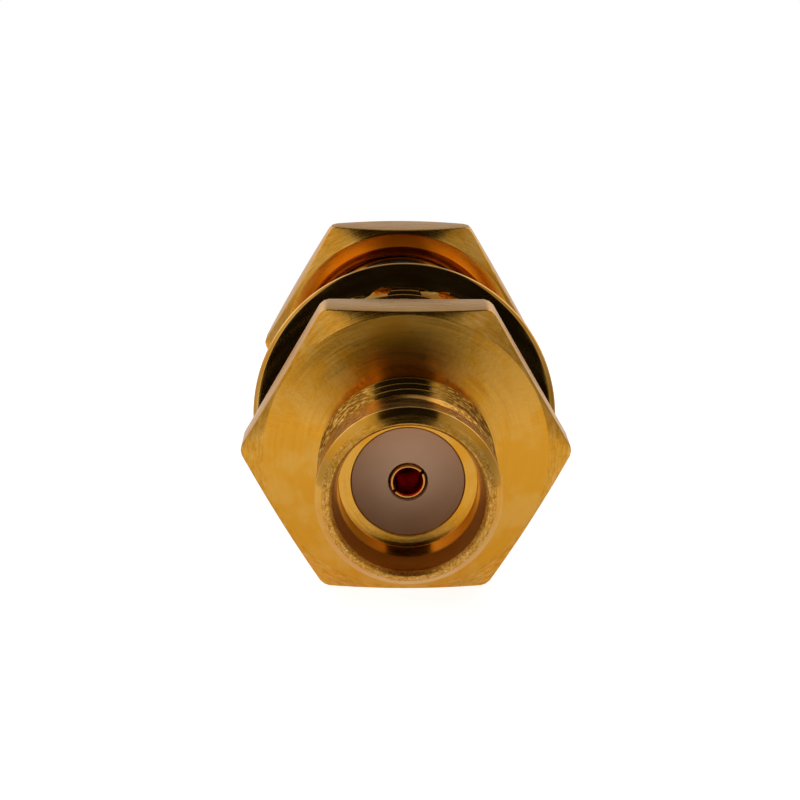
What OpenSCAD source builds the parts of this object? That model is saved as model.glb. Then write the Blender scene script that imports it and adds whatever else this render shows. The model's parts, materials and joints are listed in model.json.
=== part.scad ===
// Bulkhead coaxial adapter: a threaded jack at each end, a hex flange, a long
// panel barrel, an internal-tooth lock washer and a hex nut.
// The connector axis runs along Y, the front jack faces -Y, and +Z is up.
// The part lies on the flats of its two hexagons.

/* [Jacks] */
// Major diameter of the mating thread on each jack
jack_d = 6.3; // [6.1:0.05:6.4]
// Diameter of the straight end of the socket, which takes the mating plug
jack_bore_d = 4.8; // [4.65:0.05:4.9]
// Depth of that socket, from the mouth to the reference plane
jack_bore_depth = 1.95; // [1.8:0.05:2.4]
// Inner diameter of the foremost ring of the lip
mouth_d = 5.36; // [5.3:0.02:5.46]
// Width of the foremost ring of the lip
lip_flat = 0.04; // [0.02:0.01:0.08]
// Diameter of the socket just inside the rounded edge of its lip
entry_d = 5.16; // [5.04:0.02:5.24]
// Depth of that rounded edge
entry_edge = 0.14; // [0.08:0.02:0.3]
// Length from the mouth over which the socket narrows to its straight end
entry_len = 1; // [0.6:0.05:1.2]
// Outer diameter of the lip, where it turns into the chamfer
lip_d = 5.74; // [5.65:0.02:5.9]
// How far the lip falls back towards that diameter
lip_drop = 0.1; // [0.04:0.02:0.16]
// Length from the mouth to the back of the chamfer, where the thread begins
lip_chamfer = 0.42; // [0.3:0.02:0.6]
// Diameter of the thread relief behind each jack
relief_d = 5.6; // [5.4:0.05:5.8]
// Width of the thread relief behind each jack
relief_w = 0.4; // [0.3:0.05:0.8]

/* [Flange] */
// Length of the front jack, from its mouth to the flange
front_len = 5.05; // [4.8:0.05:8]
// Width across the flats of the flange
flange_af = 10.5; // [10.2:0.1:12]
// Thickness of the flange
flange_t = 2; // [1.5:0.1:3]
// How far the turned circle on the flange's face lies inside the flats
flange_circle_in = 0.1; // [0.05:0.05:0.4]
// Angle of the chamfer outside that circle
flange_chamfer_deg = 22; // [10:1:30]

/* [Barrel] */
// Major diameter of the barrel's thread
barrel_d = 7.94; // [7.8:0.02:8.1]
// Length of the barrel behind the flange
barrel_len = 16; // [15.5:0.5:20]
// Width of the thread relief against the flange
barrel_relief_w = 0.8; // [0.5:0.1:1.2]
// Depth of the thread relief against the flange
barrel_relief_depth = 0.5; // [0.3:0.05:0.6]
// Size of the chamfer at the barrel's rear end
barrel_chamfer = 0.45; // [0.2:0.05:0.6]

/* [Rear jack] */
// Length of the rear jack, from the barrel to its mouth
rear_len = 5.95; // [5:0.05:8]
// Diameter of the spigot pressed into the barrel
spigot_d = 6; // [5.8:0.05:6.2]
// Length of the spigot pressed into the barrel
spigot_len = 3.5; // [2:0.5:6]

/* [Insulators] */
// Diameter of the insulator at each reference plane
insulator_nose_d = 3.9; // [3.6:0.05:4.2]
// Length of the insulator's nose behind the reference plane
insulator_nose_len = 0.8; // [0.5:0.1:1.5]
// Diameter of the insulator inside the shell
insulator_d = 4.7; // [4.4:0.05:5]
// Gap all round where one inner piece sits in another
seat_gap = 0.01; // [0.01:0.01:0.03]

/* [Centre contact] */
// Outer diameter of the contact
contact_d = 1.27; // [1.2:0.01:1.4]
// Diameter to which the tips of the contact taper
tip_d = 1.2; // [1.16:0.01:1.2]
// Length of that taper
tip_len = 0.08; // [0.04:0.02:0.12]
// Diameter of the hole that takes the mating pin
socket_d = 1; // [0.94:0.01:1.02]
// Depth of that hole
socket_depth = 2.9; // [2.5:0.1:4]
// Size of the chamfer at the hole's mouth
socket_chamfer = 0.06; // [0.02:0.01:0.08]
// Width of the slit that makes the contact springy
slit_w = 0.2; // [0.1:0.02:0.3]
// Length of that slit
slit_len = 2.4; // [1.5:0.1:2.6]
// Angle of the slit above the horizontal, seen from the front
slit_deg = 35; // [0:5:90]
// Gap round the contact in the insulator
contact_gap = 0.05; // [0.02:0.01:0.08]
// Diameter of the collar trapped between the insulators
collar_d = 2; // [1.6:0.1:2.6]
// Length of that collar
collar_len = 1.8; // [1:0.1:3]

/* [Lock washer] */
// Outer diameter of the washer
washer_d = 11.55; // [11.2:0.05:11.9]
// Width of the flat ring that carries the teeth
washer_band = 0.93; // [0.6:0.01:0.95]
// Thickness of the sheet
washer_t = 0.45; // [0.3:0.05:0.6]
// Rounding of the ring's outer edge
washer_round = 0.19; // [0.05:0.01:0.2]
// Number of teeth
tooth_count = 12; // [8:1:14]
// Share of the pitch that a tooth takes at its root
tooth_share = 0.62; // [0.4:0.02:0.7]
// Width of a tooth at its tip
tooth_tip_w = 1.1; // [0.6:0.05:1.3]
// Twist of a tooth out of the sheet
tooth_twist = 22; // [10:1:30]
// Gap between the tooth tips and the barrel, with the washer centred
washer_gap = 0.58; // [0.5:0.01:0.65]
// Lean of the loose washer, its top away from the flange
washer_lean = 17; // [0:1:18]
// Distance from the flange's rear face to the foot of the washer
washer_at = 0.15; // [0.1:0.05:1.5]

/* [Nut] */
// Width across the flats of the nut
nut_af = 10.5; // [10.2:0.1:12]
// Thickness of the nut
nut_t = 2.4; // [2:0.1:2.5]
// How far the bearing circle on each face lies inside the nut's flats
nut_circle_in = 0.12; // [0.05:0.01:0.2]
// Angle of the chamfer outside that circle
nut_chamfer_deg = 42; // [20:1:42]
// Countersink of the nut's hole, measured on the radius
nut_sink = 0.48; // [0.2:0.02:0.5]
// Gap between the barrel's thread and the nut's hole
nut_gap = 0.05; // [0.02:0.01:0.08]
// Distance from the flange's rear face to the nut
nut_at = 12.95; // [6:0.05:13]

/* [Hidden] */
$fn = 96;
hex_sides = 6;
past = 0.1;               // how far a cut runs past the face it opens
tip_clear = 0.02;         // least gap left between a tooth tip and the barrel
floor_clear = 0.005;      // gap left between the washer's rim and the floor

jack_r = jack_d / 2;
bore_r = jack_bore_d / 2;
mouth_r = mouth_d / 2;
entry_r = entry_d / 2;
lip_r = lip_d / 2;
relief_r = relief_d / 2;
barrel_r = barrel_d / 2;
barrel_relief_r = barrel_r - barrel_relief_depth;
spigot_r = spigot_d / 2;
nose_r = insulator_nose_d / 2;
insulator_r = insulator_d / 2;
contact_r = contact_d / 2;
socket_r = socket_d / 2;
washer_r = washer_d / 2;
tooth_tip_r = barrel_r + washer_gap;
ring_inner_r = washer_r - washer_band;

// places along the axis, counted from the front mouth
flange_back = front_len + flange_t;
barrel_end = flange_back + barrel_len;
total_len = barrel_end + rear_len;
mid = total_len / 2;

// the leaning washer stands on the floor as far as its play on the barrel allows
washer_reach = washer_r * cos(washer_lean) + floor_clear;
washer_play = tooth_tip_r * cos(washer_lean) - washer_t / 2 * sin(washer_lean)
              - barrel_r - tip_clear;
axis_z = max(flange_af / 2, nut_af / 2, washer_reach - washer_play);
washer_lift = max(-washer_play, min(washer_play, washer_reach - axis_z));

// puts a shape drawn along +Z on the connector axis, s behind the front mouth
module on_axis(s = 0, lift = 0) {
    translate([0, s - mid, axis_z + lift]) rotate([-90, 0, 0]) children();
}

// the same, for a shape drawn forward from the rear mouth
module from_rear() {
    translate([0, total_len - mid, axis_z]) rotate([90, 0, 0]) children();
}

// hexagon with the edges of its faces turned to a cone
module turned_hex(af, t, circle_in, deg, rear_too) {
    corner_r = af / 2 / cos(180 / hex_sides);
    circle_r = af / 2 - circle_in;
    drop = (corner_r + past - circle_r) * tan(deg);
    rear_drop = rear_too ? drop : 0;
    rear_r = rear_too ? circle_r : corner_r + past;
    intersection() {
        cylinder(h = t, r = corner_r, $fn = hex_sides);
        rotate_extrude() polygon([
            [0, 0], [circle_r, 0], [corner_r + past, drop],
            [corner_r + past, t - rear_drop], [rear_r, t], [0, t]]);
    }
}

// outline of a jack, from its mouth back to the middle of what carries it
function jack_outline(len, into) = [
    [0, 0], [mouth_r + lip_flat, 0], [lip_r, lip_drop], [jack_r, lip_chamfer],
    [jack_r, len - relief_w - (jack_r - relief_r)],
    [relief_r, len - relief_w], [relief_r, len + into]];

// socket, insulator seat and shell bore of a jack
module jack_cavity(depth) {
    shoulder = jack_bore_depth + insulator_nose_len;
    edge_slope = (mouth_r - entry_r) / entry_edge;
    rotate_extrude() polygon([
        [0, -past], [mouth_r + past * edge_slope, -past], [entry_r, entry_edge],
        [bore_r, entry_len], [bore_r, jack_bore_depth], [nose_r, jack_bore_depth],
        [nose_r, shoulder], [insulator_r, shoulder],
        [insulator_r, depth], [0, depth]]);
}

module body() {
    color("#c8964a") on_axis() difference() {
        union() {
            rotate_extrude() polygon(concat(
                jack_outline(front_len, flange_t / 2), [
                [barrel_relief_r, front_len + flange_t / 2],
                [barrel_relief_r, flange_back + barrel_relief_w],
                [barrel_r, flange_back + barrel_relief_w + barrel_relief_depth],
                [barrel_r, barrel_end - barrel_chamfer],
                [barrel_r - barrel_chamfer, barrel_end], [0, barrel_end]]));
            translate([0, 0, front_len])
                turned_hex(flange_af, flange_t, flange_circle_in, flange_chamfer_deg, false);
        }
        jack_cavity(barrel_end + past);
        translate([0, 0, barrel_end - spigot_len])
            cylinder(h = spigot_len + past, r = spigot_r + seat_gap);
    }
}

module rear_jack() {
    color("#c8964a") from_rear() difference() {
        rotate_extrude() polygon(concat(
            jack_outline(rear_len, 0), [
            [spigot_r, rear_len], [spigot_r, rear_len + spigot_len],
            [0, rear_len + spigot_len]]));
        jack_cavity(rear_len + spigot_len + past);
    }
}

// half of the insulation, from a reference plane to the middle of the part
module insulator() {
    rotate_extrude() polygon([
        [contact_r + contact_gap, jack_bore_depth],
        [nose_r - seat_gap, jack_bore_depth],
        [nose_r - seat_gap, jack_bore_depth + insulator_nose_len],
        [insulator_r - seat_gap, jack_bore_depth + insulator_nose_len],
        [insulator_r - seat_gap, mid],
        [collar_d / 2 + seat_gap, mid],
        [collar_d / 2 + seat_gap, mid - collar_len / 2],
        [contact_r + contact_gap, mid - collar_len / 2]]);
}

module front_insulator() {
    color("#e6dccb") on_axis() insulator();
}

module rear_insulator() {
    color("#e6dccb") from_rear() insulator();
}

// hole and slit at one end of the contact
module socket(turn) {
    translate([0, 0, jack_bore_depth]) {
        rotate_extrude() polygon([
            [0, -past], [socket_r + socket_chamfer + past, -past],
            [socket_r, socket_chamfer], [socket_r, socket_depth],
            [0, socket_depth + socket_r / 2]]);
        rotate([0, 0, turn]) translate([-contact_r - past, -slit_w / 2, -past])
            cube([contact_d + 2 * past, slit_w, slit_len + past]);
    }
}

module centre_contact() {
    contact_len = total_len - 2 * jack_bore_depth;
    color("#b9812f") difference() {
        union() {
            on_axis(jack_bore_depth) rotate_extrude() polygon([
                [0, 0], [tip_d / 2, 0], [contact_r, tip_len], [contact_r, contact_len - tip_len],
                [tip_d / 2, contact_len], [0, contact_len]]);
            on_axis(mid - collar_len / 2) cylinder(h = collar_len, r = collar_d / 2);
        }
        on_axis() socket(-slit_deg);
        from_rear() socket(slit_deg);
    }
}

// one tooth, pointing inwards to the axis and turned about its own length
module tooth() {
    root_r = ring_inner_r + washer_band / 8;
    root_w = 2 * PI * ring_inner_r / tooth_count * tooth_share;
    translate([0, 0, washer_t / 2]) rotate([tooth_twist, 0, 0])
        linear_extrude(height = washer_t, center = true)
            polygon([[tooth_tip_r, -tooth_tip_w / 2], [root_r, -root_w / 2],
                     [root_r, root_w / 2], [tooth_tip_r, tooth_tip_w / 2]]);
}

module lock_washer() {
    edge = washer_round;
    foot = (washer_r - edge) * sin(washer_lean) + washer_t / 2 * cos(washer_lean);
    color("#c8964a") on_axis(flange_back + washer_at + foot, washer_lift)
    rotate([-washer_lean, 0, 0]) translate([0, 0, -washer_t / 2]) {
        rotate_extrude() polygon([
            [ring_inner_r, 0], [washer_r - edge, 0], [washer_r, edge],
            [washer_r, washer_t - edge], [washer_r - edge, washer_t],
            [ring_inner_r, washer_t]]);
        for (i = [0 : tooth_count - 1])
            rotate([0, 0, (i + 0.5) * 360 / tooth_count]) tooth();
    }
}

module panel_nut() {
    hole_r = barrel_r + nut_gap;
    sink_r = hole_r + nut_sink;
    color("#c8964a") on_axis(flange_back + nut_at) difference() {
        turned_hex(nut_af, nut_t, nut_circle_in, nut_chamfer_deg, true);
        rotate_extrude() polygon([
            [0, -past], [sink_r + past, -past], [hole_r, nut_sink],
            [hole_r, nut_t - nut_sink], [sink_r + past, nut_t + past],
            [0, nut_t + past]]);
    }
}

body();
rear_jack();
front_insulator();
rear_insulator();
centre_contact();
lock_washer();
panel_nut();
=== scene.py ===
# Bulkhead coaxial adapter: turned brass under gold plating, a jack at each end,
# a flange, a threaded barrel, a loose toothed washer and a nut.
import json
import math

import bmesh
import bpy
import numpy as np
from mathutils import Matrix, Vector


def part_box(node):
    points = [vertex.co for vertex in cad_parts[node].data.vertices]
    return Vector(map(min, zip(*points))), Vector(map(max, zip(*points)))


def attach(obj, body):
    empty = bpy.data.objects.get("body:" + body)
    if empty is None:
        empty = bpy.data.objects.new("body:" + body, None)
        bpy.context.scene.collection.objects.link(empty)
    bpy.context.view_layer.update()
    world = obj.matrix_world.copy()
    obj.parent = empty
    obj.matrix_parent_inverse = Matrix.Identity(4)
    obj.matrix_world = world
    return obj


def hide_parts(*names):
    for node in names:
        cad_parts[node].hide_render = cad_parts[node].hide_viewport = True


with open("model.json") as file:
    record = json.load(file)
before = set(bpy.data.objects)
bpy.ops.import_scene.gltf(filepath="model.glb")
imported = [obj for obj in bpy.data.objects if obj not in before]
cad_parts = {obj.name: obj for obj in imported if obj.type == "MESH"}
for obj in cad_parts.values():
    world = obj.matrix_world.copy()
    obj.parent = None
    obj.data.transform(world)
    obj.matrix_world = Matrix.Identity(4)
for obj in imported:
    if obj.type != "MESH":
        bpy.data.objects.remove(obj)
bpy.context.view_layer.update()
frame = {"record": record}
print("frame loaded")

mm = 0.001                                   # shapes are worked out in millimetres
mounts = {m["name"]: m for m in frame["record"]["mounts"]}
axisHeight = mounts["front_thread"]["pos_m"][2] / mm
flangeBack = mounts["panel_seat"]["pos_m"][1] / mm
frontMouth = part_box("body")[0].y / mm
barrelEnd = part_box("body")[1].y / mm
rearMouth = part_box("rear_jack")[1].y / mm
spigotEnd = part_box("rear_jack")[0].y / mm
around = 192                                 # columns round the axis, a multiple of 24
weldGap = 2e-7                               # metres, for points that meet
tinyEdge = 1e-8
threadStart = -45.0                          # where a thread's first groove begins, in degrees


def smoothStep(x):
    # three x squared less two x cubed, held between 0 and 1
    x = np.clip(x, 0, 1)
    return x * x * (3 - 2 * x)


def softRamp(x, blend=0.035):
    # nought, then a parabola over twice the blend, then a straight slope of one
    return np.where(x > blend, x, np.clip(x + blend, 0, 2 * blend) ** 2 / (4 * blend))


def turnAngles(count=around):
    # one full turn in degrees, its last column back on its first
    return threadStart + np.linspace(0, 360, count + 1)


def hexRadius(acrossFlats, cornerTrim, angles):
    # half the width over the cosine of the angle from the nearest flat's middle
    fromFlat = np.mod(angles, 60) - 30
    sharp = acrossFlats / 2 / np.cos(np.radians(fromFlat))
    return np.minimum(sharp, acrossFlats / math.sqrt(3) - cornerTrim)


def softPath(points, angles, steps=3, longest=0.45):
    # each corner (radius, place, rounding) becomes a parabola between two points that
    # lie its rounding away, or the longest share of an edge
    full = [np.stack([r + 0 * angles, s + 0 * angles, 0 * angles]) for r, s, soft in points]
    rows = []
    for i, (r, s, soft) in enumerate(points):
        if soft <= 0 or i in (0, len(points) - 1):
            rows.append(full[i])
            continue
        ends = []
        for other in (full[i - 1], full[i + 1]):
            away = other - full[i]
            length = np.maximum(np.hypot(away[0], away[1]), 1e-9)
            ends.append(full[i] + away * np.minimum(soft / length, longest))
        for t in np.linspace(0, 1, steps + 1):
            rows.append((1 - t) ** 2 * ends[0] + 2 * t * (1 - t) * full[i] + t ** 2 * ends[1])
    return np.stack(rows)


def threadPath(start, end, thread, radius, angles, inward=False):
    # rows follow the helix: place = row + pitch * turn, cut off square at both ends;
    # radius = crest less a sixty degree groove, which deepens over its first part of a turn
    pitch = thread["pitch"]
    turn = (angles - threadStart) / 360
    half = np.array(thread["rows"])
    knots = np.concatenate([[0], half, [0.5], 1 - half[::-1]])
    first = math.floor((start - thread["firstCrest"]) / pitch) - 1
    last = math.ceil((end - thread["firstCrest"]) / pitch)
    lines = thread["firstCrest"] + pitch * (np.arange(first, last + 1)[:, None] + knots).ravel()
    place = np.clip(lines[:, None] + pitch * turn, start, end)
    count = (place - thread["firstCrest"]) / pitch - turn
    whole = np.floor(count)
    part = count - whole
    fromCrest = np.minimum(part, 1 - part)
    groove = (softRamp(fromCrest - thread["crest"]) - softRamp(fromCrest - 0.5 + thread["crest"]))
    groove = groove / (0.5 - 2 * thread["crest"])
    fade = smoothStep(((whole + turn) * 360 + thread["lead"]) / thread["runIn"])
    cut = thread["depth"] * groove * fade
    worn = np.clip(1 - fromCrest / thread["wornShare"], 0, 1) * fade
    return np.stack([radius + cut if inward else radius - cut, place, worn], axis=1)


def shellMesh(name, rows, angles, place, closed=True):
    # grid of rows by columns, each point at radius r and angle a, put in place and welded
    r, s = rows[:, 0], rows[:, 1]
    a = np.radians(angles)
    x, y, z = place(r, np.broadcast_to(a, r.shape), s)
    points = np.stack([x, y, z], axis=-1).reshape(-1, 3) * mm
    rowCount, columnCount = r.shape
    i = np.arange(rowCount if closed else rowCount - 1)
    j = np.arange(columnCount - 1)
    low = (i * columnCount)[:, None] + j
    high = (((i + 1) % rowCount) * columnCount)[:, None] + j
    faces = np.stack([low, low + 1, high + 1, high], axis=-1).reshape(-1, 4)
    mesh = bpy.data.meshes.new(name)
    mesh.from_pydata(points.tolist(), [], faces.tolist())
    worn = mesh.attributes.new("worn", "FLOAT", "POINT")
    worn.data.foreach_set("value", rows[:, 2].ravel())
    return finishMesh(name, mesh)


def finishMesh(name, mesh, sharpAngle=28):
    # weld the seam and the square thread ends, then turn every face outwards
    work = bmesh.new()
    work.from_mesh(mesh)
    bmesh.ops.remove_doubles(work, verts=work.verts, dist=weldGap)
    bmesh.ops.dissolve_degenerate(work, edges=work.edges, dist=tinyEdge)
    bmesh.ops.recalc_face_normals(work, faces=work.faces)
    work.to_mesh(mesh)
    work.free()
    mesh.polygons.foreach_set("use_smooth", np.ones(len(mesh.polygons), dtype=bool))
    mesh.set_sharp_from_angle(angle=math.radians(sharpAngle))
    piece = bpy.data.objects.new(name, mesh)
    bpy.context.collection.objects.link(piece)
    return piece


def onAxis(r, a, s):
    # s runs back from the front mouth
    return r * np.cos(a), frontMouth + s, axisHeight - r * np.sin(a)


def fromRear(r, a, s):
    # s runs forward from the rear mouth, with the same hand of thread
    return r * np.cos(a), rearMouth - s, axisHeight + r * np.sin(a)


jack = {"boreDepth": 1.95, "mouthR": 2.68, "lipFlat": 0.04, "entryR": 2.58, "entryEdge": 0.14,
        "entryLength": 1.0, "lipR": 2.87, "lipDrop": 0.1, "chamfer": 0.42, "land": 0.1,
        "reliefR": 2.8, "reliefWidth": 0.4, "leadIn": 0.01, "noseR": 1.95, "noseLength": 0.8,
        "insulatorR": 2.35, "edge": 0.035, "noseEdge": 0.06, "entrySoft": 0.1, "lipSoft": 0.05,
        "mouthSoft": 0.02}
# rows of a thread from a crest to mid-groove, as shares of the pitch
fineRows = [0.03, 0.055, 0.08, 0.11, 0.2, 0.33, 0.42, 0.46]
plainRows = [0.04, 0.085, 0.13, 0.28, 0.43]
jackThread = {"pitch": 25.4 / 36, "depth": 0.35, "crest": 0.06, "firstCrest": 1.25, "runIn": 150,
              "lead": 75, "rows": fineRows, "wornShare": 0.09}
jackR = mounts["front_thread"]["dims"]["r_mm"]
boreR = mounts["front_socket"]["dims"]["r_mm"]


def cavityPath(depth):
    # inside of a jack, from the back end to the mouth
    shoulder = jack["boreDepth"] + jack["noseLength"]
    edge = jack["edge"]
    return [(jack["insulatorR"], depth, 0), (jack["insulatorR"], shoulder, edge),
            (jack["noseR"], shoulder, edge), (jack["noseR"], jack["boreDepth"], jack["noseEdge"]),
            (boreR, jack["boreDepth"], edge), (boreR, jack["entryLength"], jack["entrySoft"]),
            (jack["entryR"], jack["entryEdge"], jack["lipSoft"]),
            (jack["mouthR"], 0, jack["mouthSoft"]),
            (jack["mouthR"] + jack["lipFlat"], 0, jack["mouthSoft"]),
            (jack["lipR"], jack["lipDrop"], jack["lipSoft"]),
            (jackR, jack["chamfer"], edge), (jackR, jack["chamfer"] + jack["land"], 0)]


def jackOutside(length, angles):
    # thread, then the relief behind it, up to what carries the jack
    threadEnd = length - jack["reliefWidth"] - (jackR - jack["reliefR"])
    thread = threadPath(jack["chamfer"] + jack["land"], threadEnd, jackThread, jackR, angles)
    return thread, (jack["reliefR"], length - jack["reliefWidth"], jack["edge"])


flange = {"circleIn": 0.1, "chamferDeg": 22, "thickness": 2.0, "cornerTrim": 0.07, "edge": 0.05,
          "circleEdge": 0.03}
barrel = {"reliefWidth": 0.8, "reliefDepth": 0.5, "chamfer": 0.45, "spigotHoleR": 3.01,
          "spigotGap": 0.01, "tailIn": 0.02, "edge": 0.05}
barrelThread = {"pitch": 25.4 / 32, "depth": 0.42, "crest": 0.07, "firstCrest": 8.6, "runIn": 60,
                "lead": 0, "rows": plainRows, "wornShare": 0.1}
barrelR = mounts["panel_seat"]["dims"]["r_mm"]
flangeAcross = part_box("body")[1].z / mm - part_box("body")[0].z / mm


def makeBody():
    angles = turnAngles()
    end = barrelEnd - frontMouth
    back = flangeBack - frontMouth
    front = back - flange["thickness"]
    spigotFloor = spigotEnd - frontMouth
    circle = flangeAcross / 2 - flange["circleIn"]
    hexR = hexRadius(flangeAcross, flange["cornerTrim"], angles)
    hexFront = front + (hexR - circle) * math.tan(math.radians(flange["chamferDeg"]))
    thread, relief = jackOutside(front, angles)
    reliefR = barrelR - barrel["reliefDepth"]
    reliefEnd = back + barrel["reliefWidth"]
    inside = softPath([(barrel["spigotHoleR"], end, 0), (barrel["spigotHoleR"], spigotFloor, 0)]
                      + cavityPath(spigotFloor), angles)
    edge = barrel["edge"]
    neck = softPath([(relief[0], relief[1] - jack["leadIn"], 0), relief,
                     (jack["reliefR"], front, edge), (circle, front, flange["circleEdge"]),
                     (hexR, hexFront, flange["edge"]), (hexR, back, flange["edge"]),
                     (reliefR, back, edge), (reliefR, reliefEnd, edge),
                     (barrelR, reliefEnd + barrel["reliefDepth"], 0)], angles)
    barrelRows = threadPath(reliefEnd + barrel["reliefDepth"], end - barrel["chamfer"],
                            barrelThread, barrelR, angles)
    tail = softPath([(barrelR - barrel["tailIn"], end - barrel["chamfer"] + barrel["tailIn"], 0),
                     (barrelR - barrel["chamfer"], end, edge),
                     (barrel["spigotHoleR"], end, 0)], angles)
    rows = np.concatenate([inside, thread, neck, barrelRows, tail])
    return shellMesh("body_shell", rows, angles, onAxis)


def makeRearJack():
    angles = turnAngles()
    length = rearMouth - barrelEnd
    full = rearMouth - spigotEnd
    thread, relief = jackOutside(length, angles)
    spigotR = barrel["spigotHoleR"] - barrel["spigotGap"]
    inside = softPath(cavityPath(full), angles)
    outside = softPath([(relief[0], relief[1] - jack["leadIn"], 0), relief,
                        (jack["reliefR"], length, 0), (spigotR, length, 0),
                        (spigotR, full, barrel["edge"]), (jack["insulatorR"], full, 0)], angles)
    rows = np.concatenate([inside, thread, outside])
    return shellMesh("rear_jack_shell", rows, angles, fromRear)


insulator = {"boreR": 0.685, "pocketR": 1.01, "pocketLength": 0.9, "gap": 0.01, "edge": 0.03,
             "backEdge": 0.02}


def makeInsulator(name, place, length):
    # from the reference plane to the middle of the part
    angles = turnAngles()
    top = jack["boreDepth"]
    noseEnd = top + jack["noseLength"]
    noseR = jack["noseR"] - insulator["gap"]
    outerR = jack["insulatorR"] - insulator["gap"]
    pocket = length - insulator["pocketLength"]
    path = [(insulator["boreR"], pocket, 0), (insulator["boreR"], top, insulator["edge"]),
            (noseR, top, insulator["edge"]), (noseR, noseEnd, 0),
            (outerR, noseEnd, insulator["backEdge"]), (outerR, length, 0),
            (insulator["pocketR"], length, 0), (insulator["pocketR"], pocket, 0)]
    return shellMesh(name, softPath(path, angles), angles, place)


contact = {"outerR": 0.635, "tipR": 0.605, "tipLength": 0.08, "depth": 2.9, "chamfer": 0.05,
           "collarR": 1.0, "collarLength": 1.8, "slitWidth": 0.2, "slitLength": 2.4, "slitDeg": 35,
           "pinch": 0.035, "edge": 0.02, "tipEdge": 0.015, "rimEdge": 0.01, "around": 96}
socketR = mounts["front_contact"]["dims"]["r_mm"]


def slitCutter(name, mouthY):
    # thin plate across the mouth, turned to the slit's angle
    bpy.ops.mesh.primitive_cube_add(size=1)
    cutter = bpy.context.object
    cutter.name = name
    across = contact["outerR"] * 2 * mm
    along = contact["slitLength"] * 2 * mm
    cutter.data.transform(Matrix.Translation((0, mouthY * mm, axisHeight * mm))
                          @ Matrix.Rotation(-math.radians(contact["slitDeg"]), 4, "Y")
                          @ Matrix.Diagonal((across, along, contact["slitWidth"] * mm, 1)))
    return cutter


def makeContact():
    # a socket at each end of one turned pin, with a collar in its middle
    angles = turnAngles(contact["around"])
    full = rearMouth - frontMouth
    face = jack["boreDepth"]
    deep = face + contact["depth"]
    outer = contact["outerR"]
    edge = contact["edge"]
    rimR = socketR + contact["chamfer"]
    collar = contact["collarLength"] / 2
    path = [(0, deep + socketR / 2, 0), (socketR, deep, 0),
            (socketR, face + contact["chamfer"], edge), (rimR, face, contact["rimEdge"]),
            (contact["tipR"], face, contact["tipEdge"]),
            (outer, face + contact["tipLength"], edge), (outer, full / 2 - collar, 0),
            (contact["collarR"], full / 2 - collar, edge),
            (contact["collarR"], full / 2 + collar, edge), (outer, full / 2 + collar, 0),
            (outer, full - face - contact["tipLength"], edge),
            (contact["tipR"], full - face, contact["tipEdge"]),
            (rimR, full - face, contact["rimEdge"]),
            (socketR, full - face - contact["chamfer"], edge), (socketR, full - deep, 0),
            (0, full - deep - socketR / 2, 0)]
    piece = shellMesh("centre_socket", softPath(path, angles), angles, onAxis, closed=False)
    for name, mouthY in (("slit_front", frontMouth + face), ("slit_rear", rearMouth - face)):
        cutter = slitCutter(name, mouthY)
        cut = piece.modifiers.new(name, "BOOLEAN")
        cut.object = cutter
        cut.operation = "DIFFERENCE"
        cut.solver = "EXACT"
        with bpy.context.temp_override(object=piece, active_object=piece):
            bpy.ops.object.modifier_apply(modifier=name)
        bpy.data.objects.remove(cutter, do_unlink=True)
    pinchTines(piece)
    return piece


def pinchTines(piece):
    # each half of a slit end leans towards the other, most at the mouth
    mesh = piece.data
    flat = np.empty(len(mesh.vertices) * 3)
    mesh.vertices.foreach_get("co", flat)
    points = flat.reshape(-1, 3)
    slant = math.radians(contact["slitDeg"])
    across = np.array([-math.sin(slant), 0, math.cos(slant)])
    side = np.sign((points - [0, 0, axisHeight * mm]) @ across)
    fromMouth = np.minimum(points[:, 1] - (frontMouth + jack["boreDepth"]) * mm,
                           (rearMouth - jack["boreDepth"]) * mm - points[:, 1])
    lean = np.clip(1 - fromMouth / (contact["slitLength"] * mm), 0, 1)
    points -= (side * lean * contact["pinch"] * mm)[:, None] * across
    mesh.vertices.foreach_set("co", points.ravel())
    mesh.update()


nut = {"circleIn": 0.12, "chamferDeg": 42, "sink": 0.48, "gap": 0.05, "cornerTrim": 0.05,
       "edge": 0.07, "sinkEdge": 0.06, "circleEdge": 0.08}
nutThread = {"pitch": 25.4 / 32, "depth": 0.36, "crest": 0.07, "firstCrest": 0.2, "runIn": 30,
             "lead": 0, "rows": plainRows, "wornShare": 0.1}


def makeNut():
    angles = turnAngles()
    low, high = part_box("panel_nut")
    thickness = (high.y - low.y) / mm
    across = (high.z - low.z) / mm
    at = low.y / mm - frontMouth
    circle = across / 2 - nut["circleIn"]
    hexR = hexRadius(across, nut["cornerTrim"], angles)
    drop = (hexR - circle) * math.tan(math.radians(nut["chamferDeg"]))
    holeR = barrelR + nut["gap"]
    sinkR = holeR + nut["sink"]
    sinkEdge, circleEdge = nut["sinkEdge"], nut["circleEdge"]
    outside = softPath([(holeR, nut["sink"], 0), (sinkR, 0, sinkEdge), (circle, 0, circleEdge),
                        (hexR, drop, nut["edge"]), (hexR, thickness - drop, nut["edge"]),
                        (circle, thickness, circleEdge), (sinkR, thickness, sinkEdge),
                        (holeR, thickness - nut["sink"], 0)], angles)
    hole = threadPath(nut["sink"], thickness - nut["sink"], nutThread, holeR, angles, True)
    rows = np.concatenate([outside, hole[::-1]])
    rows[:, 1] += at
    return shellMesh("panel_nut_turned", rows, angles, onAxis)


washer = {"rimGap": 0.012, "band": 0.93, "thickness": 0.45, "round": 0.19, "teeth": 12,
          "rootShare": 0.62, "tipWidth": 1.1, "tipGap": 0.58, "twistDeg": 22, "twistEase": 0.7,
          "leanDeg": 17, "acrossTooth": 12, "acrossGap": 8, "toothRows": 7, "rimRows": 13,
          "faceRows": 6}


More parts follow.
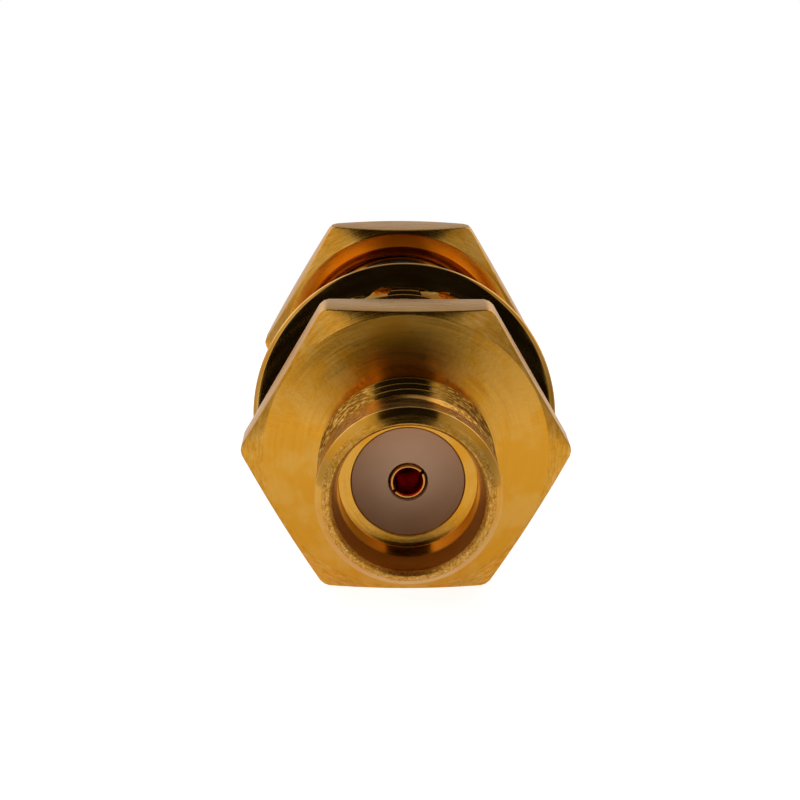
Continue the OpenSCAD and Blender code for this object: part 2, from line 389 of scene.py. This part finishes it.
def makeWasher():
    low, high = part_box("lock_washer")
    centre = [(a + b) / 2 / mm for a, b in zip(low, high)]
    outerR = (high.x - low.x) / 2 / mm - washer["rimGap"]
    ringR = outerR - washer["band"]
    tipR = barrelR + washer["tipGap"]
    half = washer["thickness"] / 2
    pitch = 360 / washer["teeth"]
    rootHalf = pitch * washer["rootShare"] / 2
    tipHalf = math.degrees(washer["tipWidth"] / 2 / tipR)
    # columns: share u across each tooth from -1 to 1, then the gap up to the next tooth
    u = np.linspace(-1, 1, washer["acrossTooth"] + 1)
    gap = np.linspace(rootHalf, pitch - rootHalf, washer["acrossGap"] + 1)
    base = np.concatenate([u * rootHalf, gap])
    inTooth = np.concatenate([np.ones(len(u)), np.zeros(len(gap))])
    centres = (np.arange(washer["teeth"]) + 0.5) * pitch
    angles = (centres[:, None] + base).ravel()
    tooth = np.tile(inTooth, washer["teeth"])
    middle = np.repeat(centres, len(base))
    angles, tooth, middle = (np.append(v, v[0]) for v in (angles, tooth, middle))
    angles[-1] += 360
    middle[-1] += 360
    # a section runs from the tooth's tip over the front face, round the rim and back
    length = ringR - tipR
    inner = np.linspace(0, 1, washer["toothRows"])
    arc = np.radians(np.linspace(0, 180, washer["rimRows"]))
    rimR = outerR - washer["round"] + washer["round"] * np.sin(arc)
    fromMid = np.sign(np.cos(arc).round(6))
    rimS = -(half - washer["round"]) * fromMid - washer["round"] * np.cos(arc)
    faceR = np.linspace(ringR, outerR - washer["round"], washer["faceRows"])[1:-1]
    share = np.concatenate([inner, np.ones(len(faceR) + len(rimR) + len(faceR)), inner[::-1]])
    ringRow = np.concatenate([ringR + 0 * inner, faceR, rimR, faceR[::-1], ringR + 0 * inner])
    side = np.concatenate([-half + 0 * inner, -half + 0 * faceR, rimS, half + 0 * faceR,
                           half + 0 * inner])
    reach = (1 - share)[:, None] * tooth
    r = ringRow[:, None] - reach * length
    # a tooth narrows to its tip and turns about its own length, eased in from the ring
    narrow = 1 - reach * (1 - tipHalf / rootHalf)
    a = middle + (angles - middle) * np.where(tooth > 0, narrow, 1)
    ease = smoothStep(reach / washer["twistEase"])
    lift = np.radians(a - middle) * r * math.tan(math.radians(washer["twistDeg"])) * ease
    s = side[:, None] + lift
    lean = math.radians(washer["leanDeg"])

    def leaning(radius, ignored, height):
        x = radius * np.cos(np.radians(a))
        up = -radius * np.sin(np.radians(a))
        y = centre[1] + height * math.cos(lean) + up * math.sin(lean)
        z = centre[2] + up * math.cos(lean) - height * math.sin(lean)
        return x, y, z

    return shellMesh("washer_stamped", np.stack([r, s, 0 * r], axis=1), angles, leaning)


# noise scales are per metre; pairs are where a blend begins and ends
turning = {"ringTurn": 2.2, "ringDetail": 3.0, "grainScale": 5200, "grainDetail": 4.0,
           "cloudDetail": 3.0, "cloudRange": (0.40, 0.62), "ringRange": (0.3, 0.7),
           "smoother": 0.04, "rougher": 0.08, "ringDepth": 0.00002, "grainDepth": 0.00003,
           "axisRadius": 1e-5}
goldFinish = {"color": (0.74, 0.37, 0.055, 1), "deep": (0.72, 0.32, 0.025, 1), "roughness": 0.15,
              "acrossMarks": 0.8, "acrossTurn": 0.25, "ringScale": 9000, "ringBump": 0.02,
              "grainBump": 0.05, "cloudScale": 900}
contactFinish = {"color": (0.80, 0.42, 0.10, 1), "deep": (0.70, 0.32, 0.05, 1), "roughness": 0.25,
                 "ringScale": 16000, "ringBump": 0.05, "grainBump": 0.03, "cloudScale": 620,
                 # inside: a dark red that is painted shade in the socket's narrow hole
                 "inside": (0.55, 0.03, 0.012, 1), "insideRange": (0.52, 0.54)}
washerFinish = {"color": (0.72, 0.38, 0.08, 1), "deep": (0.62, 0.29, 0.04, 1), "roughness": 0.09,
                "ringScale": 2500, "ringBump": 0.015, "grainBump": 0.02, "cloudScale": 620}
# the insulator's colour is painted warm light from the gold on white plastic, and its shade colour
# is painted shade
insulatorFinish = {"color": (0.84, 0.56, 0.37, 1), "shade": (0.40, 0.21, 0.10, 1),
                   "roughness": 0.42, "ior": 1.35, "depthShare": 0.15,
                   "depth": (0.0006, 0.0005, 0.0004), "cloudScale": 700, "cloudShare": 0.3,
                   "lowerShare": 0.5, "lowerFrom": 0.35, "lowerRadius": 1.5, "ringScale": 9000,
                   "ringBump": 0.12, "ringDepth": 0.00002}
# where handling has roughened the plating, by radius, height and distance from the nearer mouth;
# its pale flecks are partly painted highlights, fewer at the top of the lip
wear = {"lipInside": (2.44, 2.50), "lipDepth": (0.13, 0.22), "lipShare": 0.6, "lipTopShare": 0.3,
        "lipTop": (0.4, 0.95), "flangeFrom": (5.10, 5.2), "flangeShare": 0.2, "crestShare": 0.6,
        "threadStart": (0.38, 0.5), "threadEnd": (4.4, 4.7), "threadShare": 0.9,
        "threadTopShare": 0.15, "threadTop": (0.86, 0.97), "outside": (2.6, 2.7)}
# flecks: the pale colour is partly worn plating and partly painted glints, the dark colour partly
# dark nicks and partly painted shade
nicks = {"cream": (1.0, 0.73, 0.40, 1), "dirt": (0.24, 0.09, 0.010, 1), "fleckScale": 15000,
         "fleckDetail": 2.0, "wornRoughness": 0.42, "wornBump": 0.08, "wornDepth": 0.00003,
         "streakScale": 24000, "streakTurn": 14, "streakDetail": 3.0, "streakBump": 0.3,
         "streakDepth": 0.00002, "roughness": 0.04, "shade": 0.09, "dirtRange": (0.38, 0.52),
         "creamRange": (0.54, 0.66)}


class Nodes:
    # short calls for the nodes of one material
    def __init__(self, tree):
        self.tree = tree

    def add(self, kind, **values):
        node = self.tree.nodes.new(kind)
        for key, value in values.items():
            setattr(node, key, value)
        return node

    def link(self, source, target):
        self.tree.links.new(source, target)

    def math(self, operation, first, second=None):
        node = self.add("ShaderNodeMath", operation=operation)
        for socket, value in zip(node.inputs, (first, second)):
            if value is not None:
                self.put(value, socket)
        return node.outputs[0]

    def put(self, value, socket):
        # a number or colour is set, an output is linked
        if isinstance(value, (int, float, tuple)):
            socket.default_value = value
        else:
            self.link(value, socket)

    def step(self, value, low, high):
        # smooth step from nought at low to one at high
        node = self.add("ShaderNodeMapRange", interpolation_type="SMOOTHSTEP")
        node.inputs["From Min"].default_value = low
        node.inputs["From Max"].default_value = high
        self.link(value, node.inputs["Value"])
        return node.outputs[0]

    def heights(self, value, stops):
        # straight lines between pairs of height and level, as a sum of ramps
        total = stops[0][1]
        for (low, before), (high, after) in zip(stops, stops[1:]):
            ramp = self.add("ShaderNodeMapRange")
            for name, number in (("From Min", low), ("From Max", high), ("To Max", after - before)):
                ramp.inputs[name].default_value = number
            self.link(value, ramp.inputs["Value"])
            total = self.math("ADD", ramp.outputs[0], total)
        return total

    def blend(self, factor, first, second):
        node = self.add("ShaderNodeMix", data_type="FLOAT")
        for name, value in (("Factor", factor), ("A", first), ("B", second)):
            self.put(value, node.inputs[name])
        return node.outputs["Result"]

    def vector(self, *parts):
        node = self.add("ShaderNodeCombineXYZ")
        for socket, value in zip(node.inputs, parts):
            self.put(value, socket)
        return node.outputs[0]

    def noise(self, vector, scale, detail=2.0):
        node = self.add("ShaderNodeTexNoise")
        node.inputs["Scale"].default_value = scale
        node.inputs["Detail"].default_value = detail
        self.link(vector, node.inputs["Vector"])
        return node.outputs["Fac"]

    def tint(self, factor, first, second):
        node = self.add("ShaderNodeMix", data_type="RGBA")
        for name, value in (("Factor", factor), ("A", first), ("B", second)):
            self.put(value, node.inputs[name])
        return node.outputs["Result"]

    def bump(self, height, strength, distance, normal=None):
        node = self.add("ShaderNodeBump")
        node.inputs["Strength"].default_value = strength
        node.inputs["Distance"].default_value = distance
        self.link(height, node.inputs["Height"])
        if normal is not None:
            self.link(normal, node.inputs["Normal"])
        return node.outputs[0]


def turnedCoordinates(n):
    # distance from the axis, direction round it, and place along it
    coordinates = n.add("ShaderNodeTexCoord")
    shift = n.add("ShaderNodeMapping")
    shift.inputs["Location"].default_value = (0, 0, -axisHeight * mm)
    n.link(coordinates.outputs["Object"], shift.inputs["Vector"])
    split = n.add("ShaderNodeSeparateXYZ")
    n.link(shift.outputs["Vector"], split.inputs[0])
    x, y, z = split.outputs
    radius = n.math("SQRT", n.math("ADD", n.math("MULTIPLY", x, x), n.math("MULTIPLY", z, z)))
    safe = n.math("MAXIMUM", radius, turning["axisRadius"])
    return shift.outputs["Vector"], radius, n.math("DIVIDE", x, safe), n.math("DIVIDE", z, safe), y


def newMaterial(name):
    material = bpy.data.materials.new(name)
    material.use_nodes = True
    return material, Nodes(material.node_tree), material.node_tree.nodes["Principled BSDF"]


def goldMaterial(name, finish, wearAndPaintedLight=False):
    # gold plating with turned marks round the axis
    material, n, shader = newMaterial(name)
    shader.inputs["Metallic"].default_value = 1.0
    place, radius, eastward, upward, along = turnedCoordinates(n)
    # tool marks: noise fine across the cut and long round the axis
    rings = n.noise(n.vector(n.math("MULTIPLY", n.math("ADD", radius, along), finish["ringScale"]),
                             n.math("MULTIPLY", eastward, turning["ringTurn"]),
                             n.math("MULTIPLY", upward, turning["ringTurn"])),
                    1.0, turning["ringDetail"])
    grain = n.noise(place, turning["grainScale"], turning["grainDetail"])
    cloud = n.step(n.noise(place, finish["cloudScale"], turning["cloudDetail"]),
                   *turning["cloudRange"])
    color = n.tint(cloud, finish["color"], finish["deep"])
    smooth, coarse = turning["ringRange"]
    rough = n.heights(rings, [(smooth, finish["roughness"] - turning["smoother"]),
                              (coarse, finish["roughness"] + turning["rougher"])])
    normal = n.bump(rings, finish["ringBump"], turning["ringDepth"])
    normal = n.bump(grain, finish["grainBump"], turning["grainDepth"], normal)
    if wearAndPaintedLight:
        worn, threaded = wornPlaces(n, radius, upward, along)
        flecks = n.noise(place, nicks["fleckScale"], nicks["fleckDetail"])
        # short nicks that follow the thread
        streaks = n.noise(n.vector(n.math("MULTIPLY", along, nicks["streakScale"]),
                                   n.math("MULTIPLY", eastward, nicks["streakTurn"]),
                                   n.math("MULTIPLY", upward, nicks["streakTurn"])),
                          1.0, nicks["streakDetail"])
        spots = n.math("ADD", n.math("MULTIPLY", flecks, worn),
                       n.math("MULTIPLY", streaks, n.math("SUBTRACT", 1.0, worn)))
        # painted shade: on the threads the flecks are pushed darker
        spots = n.math("SUBTRACT", spots, n.math("MULTIPLY", threaded, nicks["shade"]))
        # dark flecks are nicks and painted shade, pale flecks are wear and painted glints
        speckled = n.tint(n.step(spots, *nicks["dirtRange"]), nicks["dirt"], finish["color"])
        speckled = n.tint(n.step(spots, *nicks["creamRange"]), speckled, nicks["cream"])
        color = n.tint(n.math("MAXIMUM", worn, threaded), color, speckled)
        rough = n.math("ADD", rough, n.math("MULTIPLY", worn, nicks["wornRoughness"]))
        rough = n.math("ADD", rough, n.math("MULTIPLY", threaded, nicks["roughness"]))
        rough = n.math("MINIMUM", rough, nicks["wornRoughness"])
        normal = n.bump(n.math("MULTIPLY", flecks, worn), nicks["wornBump"],
                        nicks["wornDepth"], normal)
        normal = n.bump(n.math("MULTIPLY", streaks, threaded), nicks["streakBump"],
                        nicks["streakDepth"], normal)
    # painted shade: inside the socket hole the colour turns dark red
    if "inside" in finish:
        outside = n.step(radius, *(edge * mm for edge in finish["insideRange"]))
        color = n.tint(outside, finish["inside"], color)
    if "acrossMarks" in finish:
        # the marks run round the axis, so reflections spread across them
        n.link(n.vector(upward, 0.0, n.math("MULTIPLY", eastward, -1.0)), shader.inputs["Tangent"])
        shader.inputs["Anisotropic"].default_value = finish["acrossMarks"]
        shader.inputs["Anisotropic Rotation"].default_value = finish["acrossTurn"]
    n.put(color, shader.inputs["Base Color"])
    n.put(rough, shader.inputs["Roughness"])
    n.put(normal, shader.inputs["Normal"])
    return material


def wornPlaces(n, radius, upward, along):
    # share of wear on the lips, thread crests and flange rim, whose pale flecks are partly painted
    # highlights, and share of nicks and painted shade on the threads
    reach = n.math("MINIMUM", n.math("SUBTRACT", along, frontMouth * mm),
                   n.math("SUBTRACT", rearMouth * mm, along))
    edges = {key: tuple(edge * mm for edge in wear[key])
             for key in ("lipInside", "lipDepth", "flangeFrom", "threadStart", "threadEnd",
                         "outside")}
    nearMouth = n.math("SUBTRACT", 1.0, n.step(reach, *edges["lipDepth"]))
    lip = n.math("MULTIPLY", nearMouth, n.step(radius, *edges["lipInside"]))
    # less at the top of the lip, so its painted highlight lies at the sides and bottom
    lipShare = n.blend(n.step(upward, *wear["lipTop"]), wear["lipShare"], wear["lipTopShare"])
    lip = n.math("MULTIPLY", lip, lipShare)
    crest = n.add("ShaderNodeAttribute", attribute_name="worn").outputs["Fac"]
    crest = n.math("MULTIPLY", crest, wear["crestShare"])
    rim = n.math("MULTIPLY", n.step(radius, *edges["flangeFrom"]), wear["flangeShare"])
    worn = n.math("MAXIMUM", n.math("MAXIMUM", lip, crest), rim)
    threaded = n.math("SUBTRACT", n.step(reach, *edges["threadStart"]),
                      n.step(reach, *edges["threadEnd"]))
    threaded = n.math("MULTIPLY", threaded, n.step(radius, *edges["outside"]))
    threadShare = n.blend(n.step(upward, *wear["threadTop"]), wear["threadShare"],
                          wear["threadTopShare"])
    return worn, n.math("MULTIPLY", threaded, threadShare)


def insulatorMaterial(name, finish):
    # waxy white plastic with faint turning rings, tinted tan as painted warm light from the gold
    # around it, with painted shade over its bottom half
    material, n, shader = newMaterial(name)
    shader.inputs["Roughness"].default_value = finish["roughness"]
    shader.inputs["Subsurface Weight"].default_value = finish["depthShare"]
    shader.inputs["Subsurface Radius"].default_value = finish["depth"]
    shader.inputs["IOR"].default_value = finish["ior"]
    place, radius, eastward, upward, along = turnedCoordinates(n)
    cloud = n.math("MULTIPLY", n.noise(place, finish["cloudScale"]), finish["cloudShare"])
    # painted shade: darker towards the bottom, away from the axis
    shadeBelow = n.math("ADD", n.math("MULTIPLY", upward, -finish["lowerShare"]), finish["lowerFrom"])
    shadeBelow = n.math("MULTIPLY", shadeBelow, n.step(radius, 0, finish["lowerRadius"] * mm))
    color = n.tint(n.math("ADD", cloud, shadeBelow), finish["color"], finish["shade"])
    n.link(color, shader.inputs["Base Color"])
    rings = n.add("ShaderNodeTexNoise", noise_dimensions="1D")
    rings.inputs["Scale"].default_value = finish["ringScale"]
    n.link(radius, rings.inputs["W"])
    n.link(n.bump(rings.outputs["Fac"], finish["ringBump"], finish["ringDepth"]),
           shader.inputs["Normal"])
    return material


gold = goldMaterial("gold_turned", goldFinish, wearAndPaintedLight=True)
goldContact = goldMaterial("gold_socket", contactFinish)
goldWasher = goldMaterial("gold_stamped", washerFinish)
white = insulatorMaterial("insulator_wax", insulatorFinish)
halfLength = (rearMouth - frontMouth) / 2

# each piece with the node it replaces, its body, its material slot and its material
pieces = [
    (makeBody(), "body", "body", "gold_body", gold),
    (makeRearJack(), "rear_jack", "body", "gold_body", gold),
    (makeInsulator("front_bead", onAxis, halfLength), "front_insulator", "body",
     "insulator_white", white),
    (makeInsulator("rear_bead", fromRear, halfLength), "rear_insulator", "body",
     "insulator_white", white),
    (makeContact(), "centre_contact", "body", "gold_contact", goldContact),
    (makeWasher(), "lock_washer", "washer", "gold_washer", goldWasher),
    (makeNut(), "panel_nut", "nut", "gold_body", gold),
]
for piece, node, body, slot, material in pieces:
    piece.data.materials.clear()
    piece.data.materials.append(material)
    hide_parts(node)
    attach(piece, body)
    print("made", piece.name, len(piece.data.polygons), "faces")


stageSet = {"floorHalf": 0.03, "floorColor": (0.9, 0.9, 0.9, 1), "cameraGlow": 0.8,
            "mirrorGlow": 0.45}
# each side of the sky lists pairs of height, from -1 straight down to 1 straight up, and light;
# the front lies at -Y, and the wedge lists half widths of its dark part by height
sky = {"left": [(-1.0, 0.80), (-0.3, 0.75), (-0.1, 0.50), (0.08, 0.50), (0.25, 0.65),
                (0.40, 0.72), (0.8, 0.68), (0.93, 0.30), (1.0, 0.12)],
       "right": [(-1.0, 0.70), (-0.3, 0.65), (-0.1, 0.45), (0.08, 0.34), (0.25, 0.30),
                 (0.50, 0.46), (0.8, 0.44), (0.93, 0.25), (1.0, 0.12)],
       "back": [(-1.0, 0.80), (-0.2, 0.85), (0.1, 0.70), (0.3, 0.60), (0.42, 0.40),
                (0.85, 0.34), (0.93, 0.2), (1.0, 0.1)],
       "backSide": [(-1.0, 0.80), (-0.2, 0.80), (0.05, 0.60), (0.2, 0.9), (0.35, 1.5),
                    (0.6, 1.5), (0.8, 0.6), (1.0, 0.1)],
       "low": [(-1.0, 0.95), (-0.31, 0.95), (-0.276, 0.72), (-0.24, 0.42), (-0.2, 0.20),
               (-0.1, 0.04), (0.0, 0.02)],
       "wedge": [(-0.06, 0.0), (0.0, 0.28), (0.142, 0.26), (0.205, 0.21), (0.26, 0.19),
                 (0.45, 0.27), (0.65, 0.34), (1.0, 0.48)],
       "wedgeLight": 0.008, "wedgeSoft": 0.04, "sideBlend": (-0.2, 0.2), "lowTop": (-0.06, 0.04),
       "lowHalf": (0.08, 0.2), "backHalf": (0.2, 0.4), "flank": 0.5, "flankHalf": (0.25, 0.5),
       "frontEnd": (0.15, 0.45), "backStart": (0.1, 0.4)}
cameraSet = {"lens": 78.6, "sensor": 36, "clipStart": 0.001, "elevation": 16.5, "azimuth": 0.974,
             "roll": 0.401, "distance": 64.5, "aimX": -0.206, "aimBack": 0.088, "aimUp": 1.394}


def makeFloor():
    half = stageSet["floorHalf"]
    mesh = bpy.data.meshes.new("floor")
    mesh.from_pydata([(-half, -half, 0), (half, -half, 0), (half, half, 0), (-half, half, 0)],
                     [], [(0, 1, 2, 3)])
    floor = bpy.data.objects.new("floor", mesh)
    bpy.context.collection.objects.link(floor)
    material = bpy.data.materials.new("floor_white")
    material.use_nodes = True
    tree = material.node_tree
    tree.nodes.clear()
    n = Nodes(tree)
    diffuse = n.add("ShaderNodeBsdfDiffuse")
    diffuse.inputs["Color"].default_value = stageSet["floorColor"]
    glow = n.add("ShaderNodeEmission")
    path = n.add("ShaderNodeLightPath")
    mirrored = n.math("MAXIMUM", path.outputs["Is Glossy Ray"], path.outputs["Is Transmission Ray"])
    mirrored = n.math("MULTIPLY", mirrored, stageSet["mirrorGlow"])
    seen = n.math("MULTIPLY", path.outputs["Is Camera Ray"], stageSet["cameraGlow"])
    n.link(n.math("MAXIMUM", seen, mirrored), glow.inputs["Strength"])
    both = n.add("ShaderNodeAddShader")
    n.link(diffuse.outputs[0], both.inputs[0])
    n.link(glow.outputs[0], both.inputs[1])
    out = n.add("ShaderNodeOutputMaterial")
    n.link(both.outputs[0], out.inputs["Surface"])
    mesh.materials.append(material)


def makeSky():
    # light panels left, right and behind, with a dark wedge in front; white to the camera
    world = bpy.data.worlds.new("studio")
    bpy.context.scene.world = world
    world.use_nodes = True
    tree = world.node_tree
    tree.nodes.clear()
    n = Nodes(tree)
    split = n.add("ShaderNodeSeparateXYZ")
    n.link(n.add("ShaderNodeTexCoord").outputs["Generated"], split.inputs[0])
    east, north, upward = split.outputs
    aside = n.math("ABSOLUTE", east)
    ahead = n.math("SUBTRACT", 1.0, n.step(north, *sky["frontEnd"]))
    sides = n.blend(n.step(east, *sky["sideBlend"]), n.heights(upward, sky["left"]),
                    n.heights(upward, sky["right"]))
    # the panels are brightest beside the wedge
    flank = n.math("SUBTRACT", 1.0, n.step(aside, *sky["flankHalf"]))
    flank = n.math("ADD", n.math("MULTIPLY", flank, sky["flank"]), 1.0)
    behind = n.blend(n.step(aside, *sky["backHalf"]), n.heights(upward, sky["back"]),
                     n.heights(upward, sky["backSide"]))
    panels = n.blend(n.step(north, *sky["backStart"]), n.math("MULTIPLY", sides, flank), behind)
    inWedge = n.math("SUBTRACT", n.heights(upward, sky["wedge"]), aside)
    inWedge = n.step(inWedge, -sky["wedgeSoft"], sky["wedgeSoft"])
    upper = n.blend(n.math("MULTIPLY", inWedge, ahead), panels, sky["wedgeLight"])
    low = n.math("SUBTRACT", 1.0, n.step(aside, *sky["lowHalf"]))
    low = n.math("MULTIPLY", low, n.math("SUBTRACT", 1.0, n.step(upward, *sky["lowTop"])))
    light = n.blend(n.math("MULTIPLY", low, ahead), upper, n.heights(upward, sky["low"]))
    toCamera = n.add("ShaderNodeLightPath").outputs["Is Camera Ray"]
    background = n.add("ShaderNodeBackground")
    background.inputs["Color"].default_value = (1, 1, 1, 1)
    n.link(n.blend(toCamera, light, 1.0), background.inputs["Strength"])
    out = n.add("ShaderNodeOutputWorld")
    n.link(background.outputs[0], out.inputs["Surface"])


def makeCamera():
    camera = bpy.data.objects.new("camera", bpy.data.cameras.new("camera"))
    bpy.context.collection.objects.link(camera)
    bpy.context.scene.camera = camera
    camera.data.lens = cameraSet["lens"]
    camera.data.sensor_width = cameraSet["sensor"]
    camera.data.clip_start = cameraSet["clipStart"]
    up = math.radians(cameraSet["elevation"])
    turn = math.radians(cameraSet["azimuth"])
    roll = Matrix.Rotation(math.radians(cameraSet["roll"]), 4, "Z")
    look = Vector((math.sin(turn) * math.cos(up), math.cos(turn) * math.cos(up), -math.sin(up)))
    aim = Vector((cameraSet["aimX"], flangeBack + cameraSet["aimBack"],
                  axisHeight + cameraSet["aimUp"])) * mm
    right = look.cross(Vector((0, 0, 1))).normalized()
    axes = Matrix((right, right.cross(look), -look)).transposed().to_4x4()
    camera.matrix_world = (Matrix.Translation(aim - look * cameraSet["distance"] * mm)
                           @ axes @ roll)


makeFloor()
makeSky()
makeCamera()
bpy.context.scene.view_settings.view_transform = "Standard"
print("stage set")
